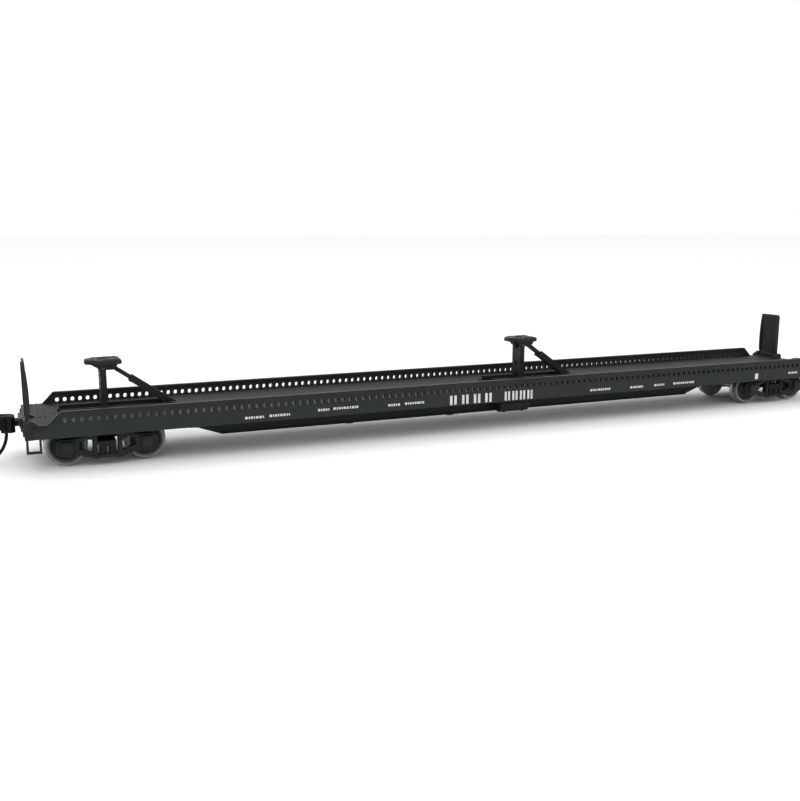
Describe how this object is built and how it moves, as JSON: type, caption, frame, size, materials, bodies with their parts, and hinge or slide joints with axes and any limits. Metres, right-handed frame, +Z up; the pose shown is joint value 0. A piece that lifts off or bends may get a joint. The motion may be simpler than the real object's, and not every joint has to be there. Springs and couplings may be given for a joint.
{
  "type": "model railway flat car",
  "caption": "Scale model piggyback flat car with perforated side guide rails, folding trailer hitches, bridge plates, knuckle couplers and swivelling trucks.",
  "frame": {"origin": "under the middle of the car, at the level of the lowest points of the wheel flanges", "axes": "+X along the car towards the end with the brake wheel, +Y across the car, +Z up"},
  "size_m": [0.278, 0.0336, 0.0282],
  "materials": {
    "deck_surface": "matte, lightly dusted",
    "body_side": "satin black with a greenish cast",
    "underframe": "matte black",
    "weight_steel": "sheared bar",
    "spring_bronze": "plain",
    "screw_steel": "blackened",
    "hitch_metal": "satin black",
    "pin_steel": "blackened",
    "bridge_plate": "satin black",
    "fine_wire": "satin black",
    "truck_plastic": "matte black",
    "truck_spring": "matte black",
    "axle_steel": "plain",
    "wheel": "dark metal, worn bright on the tread",
    "coupler_metal": "blackened cast metal"
  },
  "bodies": {
    "car_body": {"deck": "deck_surface", "side_sill_1": "body_side", "side_sill_2": "body_side", "guide_rail_1": "body_side", "guide_rail_2": "body_side", "end_sill_1": "body_side", "end_sill_2": "body_side", "centre_sill": "underframe", "steel_weight": "weight_steel", "crossbearers": "underframe", "body_bolsters": "underframe", "draft_gear_boxes": "underframe", "draft_gear_covers": "underframe", "coupler_springs": "spring_bronze", "underframe_screws": "screw_steel", "hitch_1_base": "hitch_metal", "hitch_2_base": "hitch_metal", "hinge_pins": "pin_steel", "bridge_plate_hinges": "bridge_plate", "air_reservoir": "underframe", "brake_cylinder": "underframe", "control_valve": "underframe", "brake_pipes": "underframe", "brake_housing": "underframe", "sill_steps": "fine_wire", "grab_irons": "fine_wire", "uncoupling_levers": "fine_wire"},
    "brake_wheel": {"brake_wheel": "underframe"},
    "truck_1": {"truck_1_bolster": "truck_plastic", "truck_1_side_frame_1": "truck_plastic", "truck_1_side_frame_2": "truck_plastic", "truck_1_springs": "truck_spring"},
    "truck_2": {"truck_2_bolster": "truck_plastic", "truck_2_side_frame_1": "truck_plastic", "truck_2_side_frame_2": "truck_plastic", "truck_2_springs": "truck_spring"},
    "wheelset_1": {"axle_1": "axle_steel", "wheels_1": "wheel"},
    "wheelset_2": {"axle_2": "axle_steel", "wheels_2": "wheel"},
    "wheelset_3": {"axle_3": "axle_steel", "wheels_3": "wheel"},
    "wheelset_4": {"axle_4": "axle_steel", "wheels_4": "wheel"},
    "coupler_1": {"coupler_1": "coupler_metal"},
    "knuckle_1": {"knuckle_1": "coupler_metal"},
    "coupler_2": {"coupler_2": "coupler_metal"},
    "knuckle_2": {"knuckle_2": "coupler_metal"},
    "hitch_1_post": {"hitch_1_post": "hitch_metal"},
    "hitch_1_head": {"hitch_1_head": "hitch_metal", "hitch_1_head_pins": "pin_steel"},
    "hitch_1_rod": {"hitch_1_strut_rod": "hitch_metal"},
    "hitch_1_sleeve": {"hitch_1_strut_sleeve": "hitch_metal"},
    "hitch_2_post": {"hitch_2_post": "hitch_metal"},
    "hitch_2_head": {"hitch_2_head": "hitch_metal", "hitch_2_head_pins": "pin_steel"},
    "hitch_2_rod": {"hitch_2_strut_rod": "hitch_metal"},
    "hitch_2_sleeve": {"hitch_2_strut_sleeve": "hitch_metal"},
    "bridge_plate_1": {"bridge_plate_1": "bridge_plate"},
    "bridge_plate_2": {"bridge_plate_2": "bridge_plate"}
  },
  "joints": [
    {"name": "truck_1_swivel", "type": "hinge", "parent": "car_body", "child": "truck_1", "pos_m": [-0.1116, 0, 0.009], "axis": [0, 0, 1], "range_deg": [-8, 8]},
    {"name": "truck_2_swivel", "type": "hinge", "parent": "car_body", "child": "truck_2", "pos_m": [0.1116, 0, 0.009], "axis": [0, 0, 1], "range_deg": [-8, 8]},
    {"name": "wheelset_1_spin", "type": "hinge", "parent": "truck_1", "child": "wheelset_1", "pos_m": [-0.1215, 0, 0.00545], "axis": [0, 1, 0], "continuous": true},
    {"name": "wheelset_2_spin", "type": "hinge", "parent": "truck_1", "child": "wheelset_2", "pos_m": [-0.1017, 0, 0.00545], "axis": [0, 1, 0], "continuous": true},
    {"name": "wheelset_3_spin", "type": "hinge", "parent": "truck_2", "child": "wheelset_3", "pos_m": [0.1017, 0, 0.00545], "axis": [0, 1, 0], "continuous": true},
    {"name": "wheelset_4_spin", "type": "hinge", "parent": "truck_2", "child": "wheelset_4", "pos_m": [0.1215, 0, 0.00545], "axis": [0, 1, 0], "continuous": true},
    {"name": "coupler_1_swing", "type": "hinge", "parent": "car_body", "child": "coupler_1", "pos_m": [-0.12365, 0, 0.01055], "axis": [0, 0, 1], "range_deg": [-8, 8]},
    {"name": "knuckle_1_open", "type": "hinge", "parent": "coupler_1", "child": "knuckle_1", "pos_m": [-0.13565, -0.0013, 0.01055], "axis": [0, 0, 1], "range_deg": [0, 25]},
    {"name": "coupler_2_swing", "type": "hinge", "parent": "car_body", "child": "coupler_2", "pos_m": [0.12365, 0, 0.01055], "axis": [0, 0, 1], "range_deg": [-8, 8]},
    {"name": "knuckle_2_open", "type": "hinge", "parent": "coupler_2", "child": "knuckle_2", "pos_m": [0.13565, 0.0013, 0.01055], "axis": [0, 0, 1], "range_deg": [0, 25]},
    {"name": "hitch_1_fold", "type": "hinge", "parent": "car_body", "child": "hitch_1_post", "pos_m": [-0.1108, 0, 0.0133], "axis": [0, -1, 0], "range_deg": [0, 90]},
    {"name": "hitch_1_head_tilt", "type": "hinge", "parent": "hitch_1_post", "child": "hitch_1_head", "pos_m": [-0.1108, 0, 0.024], "axis": [0, -1, 0], "range_deg": [-90, 0]},
    {"name": "hitch_1_rod_tilt", "type": "hinge", "parent": "hitch_1_head", "child": "hitch_1_rod", "pos_m": [-0.1085, 0, 0.0242], "axis": [0, -1, 0], "range_deg": [0, 35]},
    {"name": "hitch_1_sleeve_tilt", "type": "hinge", "parent": "car_body", "child": "hitch_1_sleeve", "pos_m": [-0.093, 0, 0.0132], "axis": [0, -1, 0], "range_deg": [0, 35]},
    {"name": "hitch_2_fold", "type": "hinge", "parent": "car_body", "child": "hitch_2_post", "pos_m": [0.0162, 0, 0.0133], "axis": [0, -1, 0], "range_deg": [0, 90]},
    {"name": "hitch_2_head_tilt", "type": "hinge", "parent": "hitch_2_post", "child": "hitch_2_head", "pos_m": [0.0162, 0, 0.024], "axis": [0, -1, 0], "range_deg": [-90, 0]},
    {"name": "hitch_2_rod_tilt", "type": "hinge", "parent": "hitch_2_head", "child": "hitch_2_rod", "pos_m": [0.0185, 0, 0.0242], "axis": [0, -1, 0], "range_deg": [0, 35]},
    {"name": "hitch_2_sleeve_tilt", "type": "hinge", "parent": "car_body", "child": "hitch_2_sleeve", "pos_m": [0.034, 0, 0.0132], "axis": [0, -1, 0], "range_deg": [0, 35]},
    {"name": "bridge_plate_1_fold", "type": "hinge", "parent": "car_body", "child": "bridge_plate_1", "pos_m": [-0.13065, -0.0106, 0.0133], "axis": [0, -1, 0], "range_deg": [0, 88]},
    {"name": "bridge_plate_2_fold", "type": "hinge", "parent": "car_body", "child": "bridge_plate_2", "pos_m": [0.13065, 0.0106, 0.0133], "axis": [0, 1, 0], "range_deg": [0, 88]},
    {"name": "brake_wheel_spin", "type": "hinge", "parent": "car_body", "child": "brake_wheel", "pos_m": [0.133, -0.0082, 0.0109], "axis": [1, 0, 0], "continuous": true}
  ],
  "couplings": [
    {"joint": "hitch_1_head_tilt", "follows": "hitch_1_fold", "ratio": -1},
    {"joint": "hitch_1_rod_tilt", "follows": "hitch_1_fold", "ratio": 0.3856},
    {"joint": "hitch_1_sleeve_tilt", "follows": "hitch_1_fold", "ratio": 0.3856},
    {"joint": "hitch_2_head_tilt", "follows": "hitch_2_fold", "ratio": -1},
    {"joint": "hitch_2_rod_tilt", "follows": "hitch_2_fold", "ratio": 0.3856},
    {"joint": "hitch_2_sleeve_tilt", "follows": "hitch_2_fold", "ratio": 0.3856}
  ]
}
